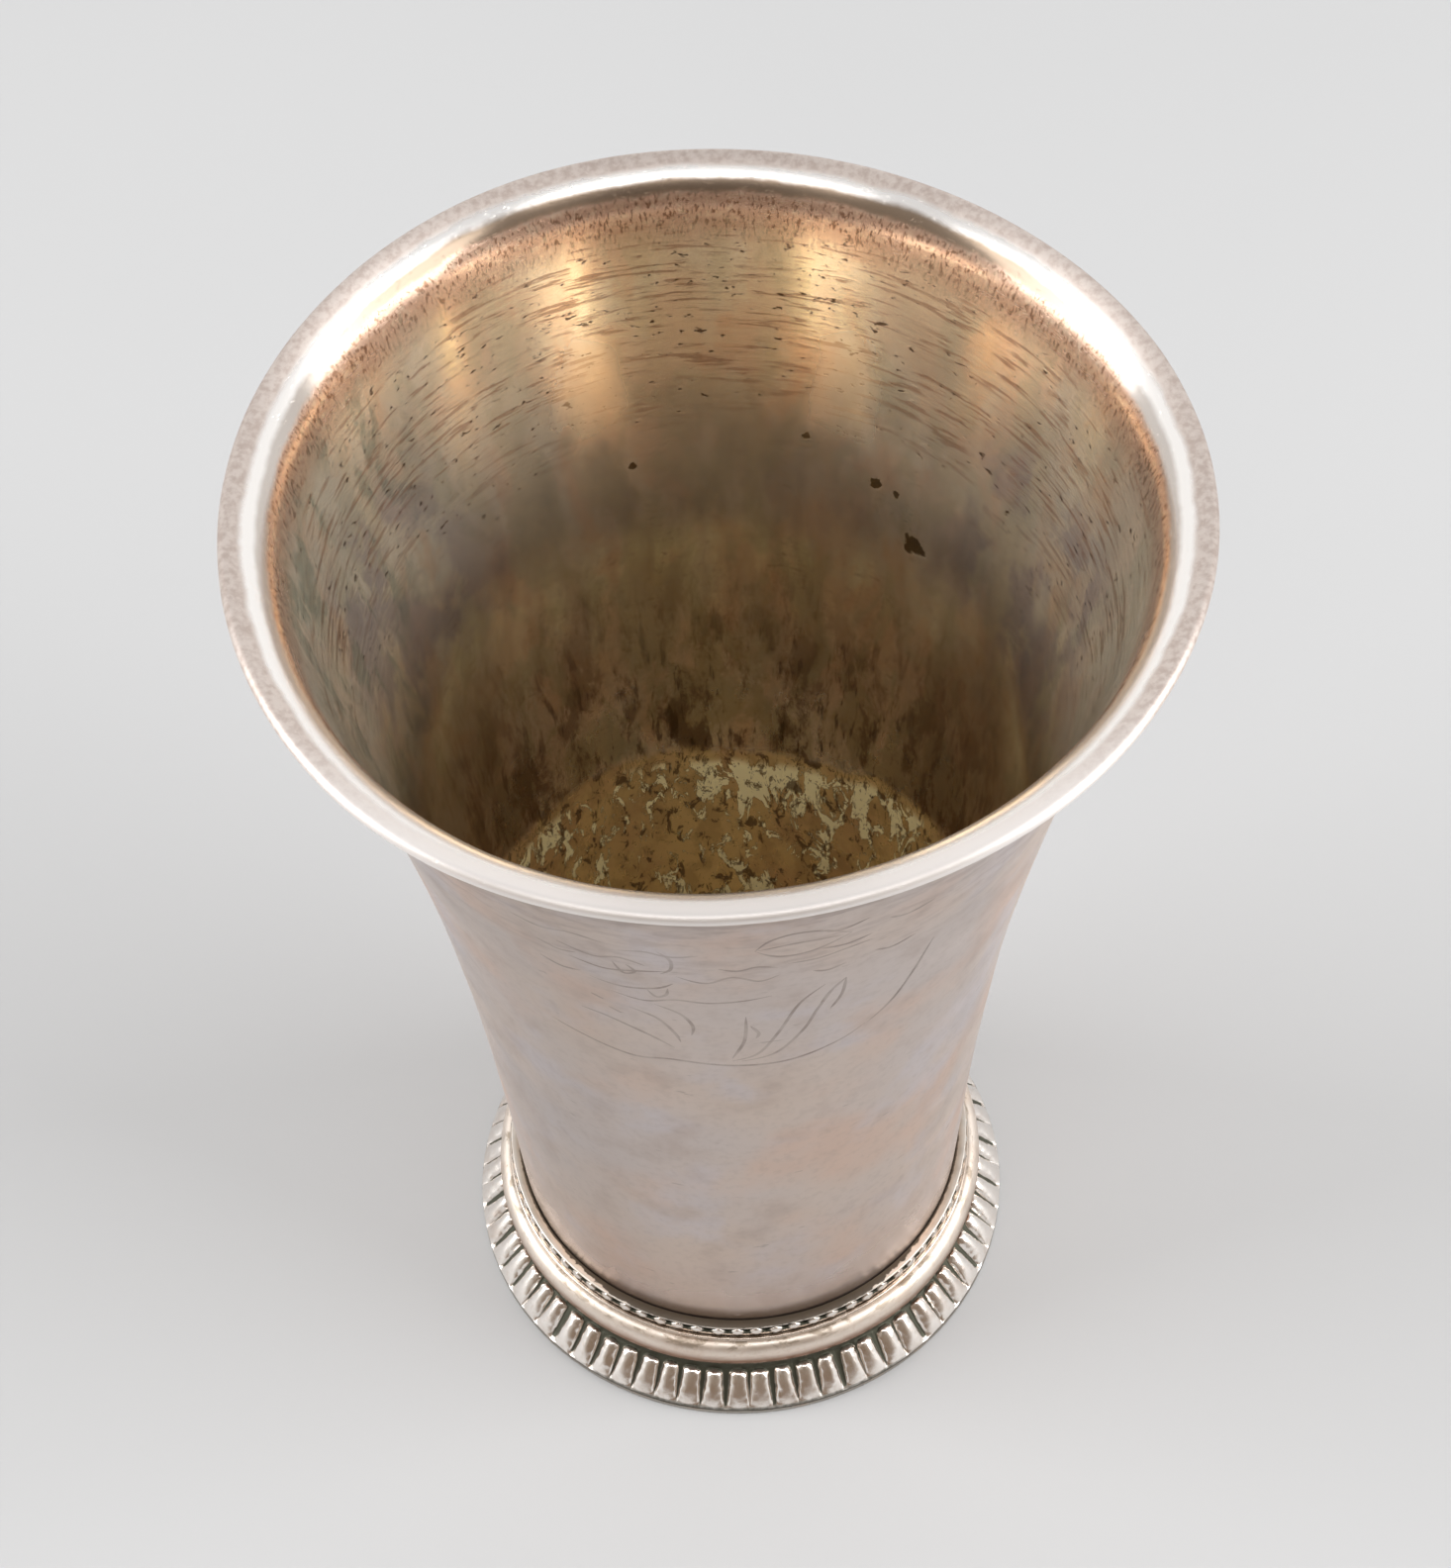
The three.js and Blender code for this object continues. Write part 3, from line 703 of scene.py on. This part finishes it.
def outside_colours(g):
    """Clouded matte silver of the wall: colour, roughness and surface."""
    clouds = g.noise(g.mm, 1 / 26, 3, 0.55)
    colour = g.mix(g.ramp(clouds, 0.36, 0.64), tone(208, 191, 179), tone(203, 191, 185))
    peach = g.noise(g.shifted(40, 7, 3), 1 / 15, 3, 0.5)
    colour = g.mix(g.times(g.ramp(peach, 0.48, 0.7), 0.75), colour, tone(213, 185, 168))
    lilac = g.noise(g.shifted(5, 61, 22), 1 / 10, 3, 0.5)
    colour = g.mix(g.times(g.ramp(lilac, 0.52, 0.72), 0.6), colour, tone(203, 196, 199))
    grime = g.noise(g.stretch(1 / 5, 1 / 6, 3.0), 1.0, 3, 0.55)
    colour = g.mix(g.times(g.ramp(grime, 0.48, 0.76), 0.4), colour, tone(176, 156, 145))
    grain = g.noise(g.mm, 1 / 0.9, 2, 0.5)
    colour = g.mix(g.times(g.ramp(grain, 0.45, 0.75), 0.16), colour, tone(154, 138, 129))
    low = g.ramp(g.z, 34, 11)
    colour = g.mix(g.times(low, 0.3), colour, tone(214, 180, 160))
    high = g.plus(g.ramp(g.z, 88, 101, 0.0, 0.4), g.ramp(g.z, 104, 118, 0.0, 0.4))
    smoky = g.noise(g.stretch(1 / 5, 1 / 1.3, 14.0), 1.0, 4, 0.6)
    colour = g.mix(g.times(high, g.ramp(smoky, 0.46, 0.62, 0.05, 0.75)), colour, tone(156, 137, 130))
    hair = g.noise(g.stretch(1 / 7, 1 / 0.6, 8.0), 1.0, 2, 0.5)
    scratch = g.ramp(hair, 0.66, 0.74)
    slant = g.noise(g.stretch(1 / 3, 1 / 0.8, 4.0), 1.0, 3, 0.5)
    mark = g.ramp(slant, 0.70, 0.76)
    colour = g.mix(g.times(mark, 0.35), colour, tone(118, 101, 92))
    # Painted shade: the left front of the wall is darkened a little, a painted reflection of the shadowed
    # floor beside it.
    left_front_shade = g.times(g.ramp(g.x, -4, -16), g.ramp(g.y, -4, -16))
    colour = g.mix(g.times(left_front_shade, 0.12), colour, tone(66, 56, 52))
    rough = g.ramp(g.noise(g.mm, 1 / 6, 2, 0.5), 0.3, 0.7, 0.285, 0.35)
    rough = g.plus(rough, g.times(scratch, 0.05))
    rough = g.minus(rough, g.ramp(g.z, 24, 12, 0.0, 0.1))
    height = g.plus(g.times(hair, 0.6), g.times(grain, 0.4))
    # The upper wall darkens towards the lip: partly tarnish, partly painted shade under the lip's overhang.
    tarnish_and_lip_shade = g.times(g.ramp(g.z, 107, 114), g.ramp(smoky, 0.3, 0.65, 0.2, 0.42))
    colour = g.mix(tarnish_and_lip_shade, colour, tone(124, 106, 96))
    return colour, rough, height


# Places where a flake of the gilding is missing: x, y, z and size in mm
CHIPS = [
    (19.7, 24.0, 83.4, 1.5), (21.0, 23.4, 82.9, 1.0), (16.2, 27.8, 88.6, 0.9), (18.2, 26.6, 88.3, 0.7),
    (9.5, 31.6, 91.9, 0.6), (-7.8, 31.3, 88.5, 0.6), (-30.5, -8.0, 90.0, 1.1), (4.0, -33.0, 92.0, 1.2),
]


def gilding_colours(g, place_fine, fine):
    """Worn gilding of the inside: colour, roughness and the height of its scratches."""
    depth = g.ramp(g.z, 84, 44)
    upper_part = g.ramp(g.z, 84, 104)

    # Clouds of cream, peach and olive
    warm = g.noise(g.stretch(1 / 10, 1 / 15, 2.0), 1.0, 6, 0.6, 0.5)
    gilt = g.mix(g.ramp(warm, 0.43, 0.55), tone(246, 237, 218), tone(247, 229, 206))
    rosy = g.noise(g.stretch(1 / 7, 1 / 12, 12.0), 1.0, 5, 0.6, 0.4)
    gilt = g.mix(g.times(g.ramp(rosy, 0.52, 0.62), 0.6), gilt, tone(241, 212, 184))
    olive = g.noise(g.stretch(1 / 6, 1 / 14, 31.0), 1.0, 7, 0.64, 0.5)
    olive_share = g.times(g.ramp(olive, 0.46, 0.57), g.ramp(g.z, 112, 60, 0.6, 0.95))
    gilt = g.mix(olive_share, gilt, g.mix(depth, tone(226, 219, 195), tone(206, 198, 166)))
    bruise = g.noise(g.stretch(1 / 7, 1 / 9, 47.0), 1.0, 6, 0.62, 0.4)
    belt = g.times(g.ramp(g.z, 108, 99), g.ramp(g.z, 72, 84))
    aside = g.times(g.ramp(g.y, 27, 17), g.ramp(g.y, -6, 6))
    bruise_share = g.times(g.times(g.ramp(bruise, 0.44, 0.56), belt), aside)
    gilt = g.mix(g.times(bruise_share, 0.65), gilt, tone(190, 177, 180))
    teal = g.noise(g.stretch(1 / 4, 1 / 12, 71.0), 1.0, 6, 0.64, 0.4)
    greenish = g.larger(g.times(depth, 0.5), g.ramp(g.x, -25, -33))
    gilt = g.mix(g.times(g.times(g.ramp(teal, 0.5, 0.6), greenish), 0.6), gilt, tone(158, 170, 154))

    # Brown and black stains that run down the wall
    stain = g.noise(g.stretch(1 / 3.2, 1 / 9, 17.0), 1.0, 8, 0.7, 0.3)
    gilt = g.mix(g.times(g.times(g.ramp(stain, 0.47, 0.58), depth), 0.85), gilt, tone(122, 98, 70))
    smear = g.noise(g.stretch(1 / 1.1, 1 / 7, 23.0), 1.0, 6, 0.66)
    gilt = g.mix(g.times(g.times(g.ramp(smear, 0.54, 0.64), depth), 0.8), gilt, tone(84, 64, 42))

    # The lower flanks are darker
    flank = g.times(g.ramp(g.y, 24, 13), g.ramp(g.z, 84, 72))
    gilt = g.mix(g.times(flank, 0.6), gilt, tone(126, 94, 62))

    # Turned scratches, denser towards the lip
    hair = g.noise(g.stretch(1 / 5.5, 1 / 0.48, 5.0), 1.0, 4, 0.6, 0.05)
    bundle = g.ramp(g.noise(g.stretch(1 / 8, 1 / 4, 61.0), 1.0, 5, 0.64), 0.36, 0.52)
    lines = g.times(g.ramp(hair, 0.55, 0.585), g.times(bundle, g.ramp(upper_part, 0.0, 1.0, 0.06, 0.6)))
    gilt = g.mix(lines, gilt, tone(160, 118, 90))
    glint = g.times(g.ramp(hair, 0.46, 0.38), g.times(bundle, upper_part))
    gilt = g.mix(g.times(glint, 0.6), gilt, tone(250, 238, 214))
    pit_noise = g.noise(g.stretch(1 / 1.1, 1 / 0.5, 9.0), 1.0, 4, 0.6)
    pits = g.times(g.ramp(pit_noise, 0.62, 0.66), g.ramp(upper_part, 0.0, 0.6, 0.25, 1.0))
    gilt = g.mix(g.times(pits, 0.85), gilt, tone(84, 56, 38))
    crumbled = g.noise(g.mm, 1 / 1.3, 5, 0.7)
    chips = 0.0
    for x, y, z, size in CHIPS:
        offset = g.node("ShaderNodeVectorMath", {0: g.mm, 1: (x, y, z)}, operation="SUBTRACT").outputs[0]
        away = g.node("ShaderNodeVectorMath", {0: offset}, operation="LENGTH").outputs["Value"]
        inside_chip = g.ramp(g.plus(g.math("DIVIDE", away, size), g.times(crumbled, 2.6)), 2.06, 2.0)
        chips = g.larger(chips, inside_chip)
    gilt = g.mix(g.times(chips, 0.9), gilt, tone(112, 88, 40))

    # Below the lip the gilding is rubbed through to a speckled brown
    near_lip = g.ramp(place_fine, 12.5, 7.0)
    ticks = g.noise(g.stretch(1 / 0.32, 1 / 1.1, 3.0), 1.0, 3, 0.6)
    rubbed = g.mix(g.ramp(ticks, 0.52, 0.62), tone(206, 174, 154), tone(138, 100, 76))
    gilt = g.mix(g.times(near_lip, g.ramp(fine, 0.3, 0.55, 0.6, 0.95)), gilt, rubbed)

    rough = g.ramp(g.noise(g.stretch(1 / 6, 1 / 12, 40.0), 1.0, 5, 0.6), 0.35, 0.65, 0.10, 0.17)
    rough = g.plus(rough, g.times(depth, 0.15))
    rough = g.plus(rough, g.times(near_lip, 0.08))
    rough = g.plus(rough, g.times(lines, 0.1))
    height = g.minus(g.times(hair, g.ramp(upper_part, 0.0, 1.0, 0.15, 0.7)),
                    g.times(g.plus(pits, chips), 0.8))

    # Below a tide line the gilding flakes off in pale yellow patches
    tide = g.plus(g.z, g.times(g.noise(g.stretch(1 / 14, 1 / 30, 8.0), 1.0, 3, 0.5), 7.0))
    below_tide = g.ramp(tide, 52.5, 50.5)
    flake_noise = g.noise(g.stretch(1 / 2.4, 1 / 5.5, 91.0), 1.0, 9, 0.7, 0.8)
    flake_noise = g.plus(flake_noise, g.ramp(g.z, 44, 34, 0.03, -0.03))
    wide_flakes = g.noise(g.stretch(1 / 5, 1 / 9, 19.0), 1.0, 2, 0.5)
    flake_noise = g.plus(flake_noise, g.ramp(wide_flakes, 0.38, 0.62, -0.03, 0.04))
    middle = g.math("ABSOLUTE", g.minus(g.x, 1.0))
    flake_noise = g.plus(flake_noise, g.ramp(middle, 6, 1, 0.0, 0.03))
    flakes = g.times(g.ramp(flake_noise, 0.535, 0.55), g.ramp(tide, 50.5, 48.5))
    ground = g.mix(g.ramp(warm, 0.42, 0.58), tone(228, 200, 140), tone(212, 178, 128))
    worn_ground = g.noise(g.stretch(1 / 3, 1 / 5, 37.0), 1.0, 5, 0.6)
    ground = g.mix(g.ramp(worn_ground, 0.46, 0.6, 0.0, 0.5), ground, tone(176, 146, 100))
    flaked = g.mix(flakes, ground, tone(255, 246, 196))
    dark_spot = g.noise(g.stretch(1 / 1.3, 1 / 2.4, 33.0), 1.0, 7, 0.7, 0.6)
    flaked = g.mix(g.ramp(dark_spot, 0.54, 0.60, 0.0, 0.85), flaked, tone(92, 70, 44))
    outline = g.times(g.ramp(flake_noise, 0.525, 0.535), g.ramp(flake_noise, 0.555, 0.545))
    flaked = g.mix(g.times(outline, 0.7), flaked, tone(86, 66, 40))
    gilt = g.mix(below_tide, gilt, flaked)
    height = g.plus(height, g.times(below_tide, g.times(flakes, 1.5)))
    matte = g.times(below_tide, g.ramp(flakes, 0.0, 1.0, 0.44, 0.88))

    # Two places on the far wall, below the lamps' reflections, painted pale and made less metallic: a painted
    # highlight that carries the reflected streaks further down.
    from_streak = g.math("ABSOLUTE", g.minus(g.math("ABSOLUTE", g.minus(g.x, 0.9)), 11.8))
    from_streak = g.plus(from_streak, g.swing(rosy, 8.0))
    height_share = g.times(g.ramp(g.z, 90.5, 96.5), g.ramp(g.z, 107, 100))
    streak_highlight = g.times(g.times(g.ramp(from_streak, 4.6, 1.8), height_share), g.ramp(g.y, 20, 26))
    gilt = g.mix(g.times(streak_highlight, 0.6), gilt, tone(252, 220, 178))
    matte = g.larger(matte, g.times(streak_highlight, 0.17))
    return gilt, rough, height, matte


def cup_material():
    """One material over the whole cup: silver outside, bright lip, worn gilding inside."""
    g = Graph("cup_silver_and_gilt")
    edge_mm = g.attribute("from_edge")
    colour_out, rough_out, height_out = outside_colours(g)

    # Lip, from its edge inwards: matte rubbed rim, bright band, olive line, then the gilding
    ragged = g.noise(g.mm, 1 / 5, 5, 0.6)
    fine = g.noise(g.mm, 1 / 0.8, 3, 0.6)
    lean_back = g.times(g.y, 0.008)
    place = g.plus(edge_mm, g.swing(ragged, 1.1))
    place = g.plus(place, lean_back)
    place_fine = g.plus(place, g.swing(fine, 0.5))
    rim = g.mix(g.ramp(fine, 0.35, 0.7), tone(221, 209, 201), tone(199, 183, 174))
    polished = g.ramp(g.minus(place_fine, lean_back), 2.0, 2.8)
    # Painted highlight: the near side of the rim is painted lighter.
    rim = g.mix(g.ramp(g.y, -20, -38), rim, tone(246, 240, 236))
    colour = g.mix(polished, rim, tone(250, 247, 244))
    rough = g.ramp(polished, 0.0, 1.0, 0.42, 0.2)
    olive_line = g.times(g.ramp(place, 3.4, 4.2), g.ramp(place, 6.0, 5.0))
    olive_share = g.times(olive_line, g.ramp(g.y, 8, 30, 0.45, 0.9))
    colour = g.mix(olive_share, colour, tone(128, 105, 80))
    gilt, gilt_rough, scratched, matte = gilding_colours(g, place_fine, fine)
    gilding = g.ramp(place_fine, 4.9, 5.5)
    colour = g.mix(gilding, colour, gilt)
    copper = g.times(g.ramp(place_fine, 4.7, 5.2), g.ramp(place_fine, 6.6, 5.6))
    colour = g.mix(g.times(copper, 0.2), colour, tone(218, 180, 152))
    rough = g.between(gilding, rough, gilt_rough)

    inside = g.ramp(edge_mm, -1.2, -1.05)
    over_edge = g.ramp(edge_mm, -2.2, -0.3)
    colour = g.mix(over_edge, colour_out, colour)
    rough = g.between(over_edge, rough_out, rough)
    height = g.plus(g.times(scratched, 0.8), g.times(fine, 0.2))
    height = g.between(inside, height_out, height)
    g.brushed_round(0.75)
    aside = g.ramp(g.math("ABSOLUTE", g.x), 6, 16)
    dull = g.minus(g.times(aside, g.ramp(g.z, 82, 96, 0.0, 0.125)),
                  g.ramp(g.z, 92, 76, 0.0, 0.035))
    metal = g.minus(g.ramp(inside, 0.0, 1.0, 0.93, 0.88), g.times(inside, g.plus(matte, dull)))
    return g.finish(colour, rough, g.bump(height, 0.011 * MM), metal)


def foot_material(name, light, shade, dirt, rough_low, rough_high, dark_below, recess=False, front_shade=0.0,
                  patches=0.0):
    """Silver of the foot: lighter where it is rubbed, dirt where it is sheltered. The front argument is how
    far up the worn scale painted shade reaches at the front, patches how strongly the upper face is stained."""
    g = Graph(name)
    worn = g.attribute("worn")
    mottle = g.noise(g.mm, 1 / 2.4, 6, 0.65)
    fine = g.noise(g.mm, 1 / 0.6, 3, 0.6)
    blend = g.plus(worn, g.swing(mottle, 0.9))
    colour = g.mix(g.ramp(blend, 0.2, 0.75), shade, light)
    warm = g.noise(g.shifted(13, 5, 9), 1 / 4.5, 4, 0.6)
    colour = g.mix(g.times(g.ramp(warm, 0.5, 0.7), 0.28), colour, tone(206, 176, 152))
    grime = g.times(g.ramp(fine, 0.5, 0.72), 0.35)
    colour = g.mix(grime, colour, shade)
    if patches:
        drawn = g.noise(g.stretch(1 / 2.6, 1 / 0.5, 27.0), 1.0, 6, 0.66, 0.3)
        upper_face = g.ramp(worn, 0.8, 0.97, 0.12, 0.9)
        upper_face = g.times(upper_face, g.ramp(drawn, 0.5, 0.62))
        colour = g.mix(g.times(upper_face, patches), colour, tone(138, 120, 96))
        lower_face = g.ramp(g.plus(worn, g.times(drawn, 0.3)), 0.92, 0.5)
        colour = g.mix(g.times(lower_face, 0.95), colour, tone(140, 100, 74))
    if recess:
        hollow = g.attribute("recess")
        edge = g.plus(hollow, g.swing(fine, 0.3))
        inky = g.ramp(edge, 0.42, 0.85)
    else:
        edge = g.plus(worn, g.swing(fine, 0.3))
        inky = g.ramp(edge, dark_below, dark_below - 0.2)
    # Painted shade: on the front side the dark colour climbs further up the worn scale.
    if front_shade:
        forward = g.plus(g.y, g.swing(mottle, 12.0))
        limit = g.ramp(forward, -14, -23, dark_below, front_shade)
        ledge = g.ramp(g.minus(limit, edge), -0.05, 0.05)
        inky = g.larger(inky, g.times(ledge, 0.92))
    colour = g.mix(inky, colour, dirt)
    rough = g.ramp(mottle, 0.3, 0.7, rough_low, rough_high)
    rough = g.between(inky, rough, 0.5)
    metal = g.ramp(inky, 0.0, 1.0, 1.0, 0.6)
    hair = g.noise(g.stretch(1 / 4, 1 / 0.4, 6.0), 1.0, 2, 0.5)
    height = g.plus(g.times(hair, 0.4), g.times(fine, 0.6))
    return g.finish(colour, rough, g.bump(height, 0.014 * MM), metal)


def engraved_material():
    """The worn strokes: the wall's silver, a little darker and duller."""
    g = Graph("engraved_strokes")
    colour, rough, height = outside_colours(g)
    worn = g.noise(g.mm, 1 / 3.5, 4, 0.6)
    colour = g.mix(g.ramp(worn, 0.35, 0.7, 0.4, 1.0), colour, tone(148, 133, 124))
    return g.finish(colour, g.plus(rough, 0.06), g.bump(height, 0.010 * MM))


# The pieces

shade = tone(176, 158, 142)
dirt = tone(58, 54, 42)

cup_piece = cup()
pieces = [
    (cup_piece, "beaker_body", "cup_silver", cup_material()),
    (collar(), "collar_ring", "dark_silver",
     foot_material("collar_silver", tone(232, 224, 214), tone(206, 195, 180), tone(72, 62, 48),
                   0.32, 0.42, 0.12, front_shade=0.97)),
    (strip(), "toothed_strip", "bright_silver",
     foot_material("strip_silver", tone(240, 232, 224), shade, tone(66, 66, 54), 0.14, 0.24, 0.6)),
    (bead(), "bead_wire", "moulding_silver",
     foot_material("bead_silver", tone(218, 205, 192), shade, dirt, 0.2, 0.32, 0.25)),
    (torus(), "torus_moulding", "moulding_silver",
     foot_material("torus_silver", tone(240, 228, 216), tone(222, 202, 184), dirt,
                   0.36, 0.5, 0.14, patches=0.75)),
    (flange(), "fluted_flange", "bright_silver",
     foot_material("flute_silver", tone(253, 247, 241), tone(222, 204, 188), tone(74, 74, 62),
                   0.16, 0.26, 0.1, recess=True)),
    (foot_wire(), "base_wire", "moulding_silver",
     foot_material("wire_silver", tone(176, 170, 162), tone(128, 120, 110), dirt, 0.24, 0.36, 0.45)),
]
for piece, node, finish_slot, material in pieces:
    piece.data.materials.append(material)
    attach(piece, "root")
    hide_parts(node)

strokes = engraving(cup_piece)
strokes.data.materials.append(engraved_material())
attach(strokes, "root")


# Floor

def floor_material():
    """Plain pale paper with a faint tooth."""
    g = Graph("studio_floor")
    cloud = g.noise(g.mm, 1 / 220, 2, 0.5)
    colour = g.mix(g.ramp(cloud, 0.3, 0.7), tone(197, 198, 199), tone(194, 195, 196))
    height = g.noise(g.mm, 1 / 0.8, 3, 0.6)
    return g.finish(colour, 0.75, g.bump(height, 0.02 * MM, strength=0.3), 0.0)


FLOOR_HALF = 3.0
floor_mesh = bpy.data.meshes.new("floor")
floor_mesh.from_pydata([(-FLOOR_HALF, -FLOOR_HALF, 0), (FLOOR_HALF, -FLOOR_HALF, 0),
                        (FLOOR_HALF, FLOOR_HALF, 0), (-FLOOR_HALF, FLOOR_HALF, 0)], [], [(0, 1, 2, 3)])
floor_mesh.materials.append(floor_material())
floor_object = bpy.data.objects.new("floor", floor_mesh)
bpy.context.scene.collection.objects.link(floor_object)


# Studio light: soft boxes at both sides and one overhead in front, in a pale room

def soft_box(name, azimuth, elevation, distance, width, height, radiance):
    """A rectangular lamp that faces the cup. Azimuth is from +Y towards +X, both in degrees."""
    a, e = math.radians(azimuth), math.radians(elevation)
    target = Vector((0, 0, CUP_TOP * 0.8))
    away = Vector((math.sin(a) * math.cos(e), math.cos(a) * math.cos(e), math.sin(e)))
    lamp = bpy.data.lights.new(name, "AREA")
    lamp.shape = "RECTANGLE"
    lamp.size, lamp.size_y = width, height
    lamp.energy = radiance * math.pi * width * height
    made = bpy.data.objects.new(name, lamp)
    made.location = target + away * distance
    made.rotation_mode = "QUATERNION"
    made.rotation_quaternion = away.to_track_quat("Z", "Y")
    bpy.context.scene.collection.objects.link(made)
    return made


soft_box("side_box_right", azimuth=100, elevation=29, distance=1.0, width=0.72, height=0.80, radiance=4.4)
soft_box("side_box_left", azimuth=-91, elevation=29, distance=1.0, width=0.62, height=0.80, radiance=4.2)
soft_box("front_box_overhead", azimuth=180, elevation=64, distance=1.2, width=1.1, height=0.23, radiance=3.6)

world = bpy.data.worlds.new("pale_room")
bpy.context.scene.world = world
world.use_nodes = True
tree = world.node_tree
background = tree.nodes["Background"]
background.inputs["Strength"].default_value = 1.0


def room_ramp(value, low, high):
    return add_node(tree, "ShaderNodeMapRange", {0: value, 1: low, 2: high},
                    interpolation_type="SMOOTHSTEP").outputs[0]


def room_product(a, b):
    return add_node(tree, "ShaderNodeMath", {0: a, 1: b}, operation="MULTIPLY").outputs[0]


def room_mix(share, a, b):
    return add_node(tree, "ShaderNodeMix", {0: share, 6: a, 7: b}, data_type="RGBA").outputs[2]


# The room is pale behind, duller overhead and in front, and dark where the photographer stands
PHOTOGRAPHER_ELEVATION = math.radians(40)
SHADE_EDGE, SHADE_CORE = math.radians(24), math.radians(13)

to_photographer = (0, -math.cos(PHOTOGRAPHER_ELEVATION), math.sin(PHOTOGRAPHER_ELEVATION))
way = add_node(tree, "ShaderNodeTexCoord").outputs[0]
split = add_node(tree, "ShaderNodeSeparateXYZ", {0: way}).outputs
facing = add_node(tree, "ShaderNodeVectorMath", {0: way, 1: to_photographer},
                  operation="DOT_PRODUCT").outputs["Value"]
overhead = room_ramp(split[2], 0.58, 0.9)
in_front = room_product(room_ramp(split[1], -0.1, -0.6), room_ramp(split[2], 0.88, 0.74))
low_front = room_product(room_ramp(split[1], -0.55, -0.85), room_ramp(split[2], 0.5, 0.3))
shaded = room_ramp(facing, math.cos(SHADE_EDGE), math.cos(SHADE_CORE))
room = room_mix(overhead, tone(241, 240, 239), tone(194, 194, 195))
room = room_mix(in_front, room, tone(172, 162, 152))
room = room_mix(low_front, room, tone(128, 110, 94))
room = room_mix(shaded, room, tone(130, 118, 106))
tree.links.new(room, background.inputs["Color"])

scene = bpy.context.scene
scene.view_settings.view_transform = "Standard"


# Camera at the photograph's angle

PICTURE_LONG_SIDE = 1584
FOCAL_PIXELS = 4000
SENSOR = 36
PITCH = 0.95484
ROLL = -0.0407
CAMERA_PLACE = Vector((0.00008, -0.22187, 0.39083))

camera_data = bpy.data.cameras.new("photo_camera")
camera_data.sensor_width = SENSOR
camera_data.lens = FOCAL_PIXELS / PICTURE_LONG_SIDE * SENSOR
camera_data.clip_start, camera_data.clip_end = 0.01, 20
camera = bpy.data.objects.new("photo_camera", camera_data)
ahead = Vector((0, math.cos(PITCH), -math.sin(PITCH)))
right = Vector((1, 0, 0))
up = Vector((0, math.sin(PITCH), math.cos(PITCH)))
right_rolled = right * math.cos(ROLL) + up * math.sin(ROLL)
up_rolled = up * math.cos(ROLL) - right * math.sin(ROLL)
turned_to = Matrix((right_rolled, up_rolled, -ahead)).transposed().to_4x4()
camera.matrix_world = Matrix.Translation(CAMERA_PLACE) @ turned_to
scene.collection.objects.link(camera)
scene.camera = camera
